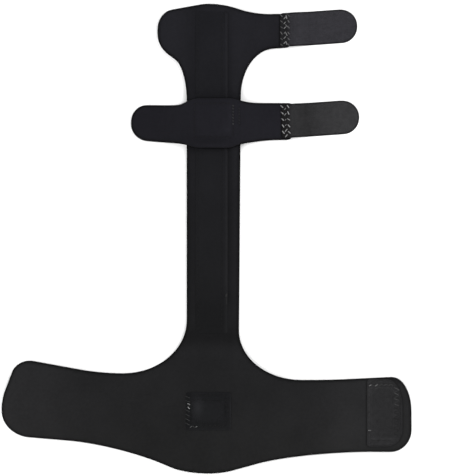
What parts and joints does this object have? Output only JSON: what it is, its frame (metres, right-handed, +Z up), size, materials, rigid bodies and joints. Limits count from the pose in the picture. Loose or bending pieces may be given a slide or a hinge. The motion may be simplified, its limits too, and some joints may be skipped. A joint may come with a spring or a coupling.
{
  "type": "finger splint",
  "caption": "Soft finger splint laid flat: a wrist band, a long spine with a sewn sleeve, a finger cap, a cross strap and hook tape on the free ends.",
  "frame": {"origin": "on the flat underside, in the middle of the wrist band under the stitched square", "axes": "+Y along the spine towards the fingertip, +Z up from the surface it lies on, +X towards the hook tabs"},
  "size_m": [0.2111, 0.2422, 0.0079],
  "materials": {
    "neoprene": "matt black knit over foam, brushed loop face",
    "sleeve_cloth": "matt black knit, tight over the stay",
    "strap_neoprene": "matt black knit over foam",
    "hook_tape": "fine moulded hooks, dark grey, dull",
    "patch_cloth": "matt black woven cloth, stitched all round"
  },
  "bodies": {
    "root": {"base_panel": "neoprene", "stay_sleeve": "sleeve_cloth", "middle_strap": "strap_neoprene", "top_hook_tab": "hook_tape", "middle_hook_tab": "hook_tape", "wrist_hook_patch": "hook_tape", "centre_patch": "patch_cloth"}
  },
  "joints": []
}
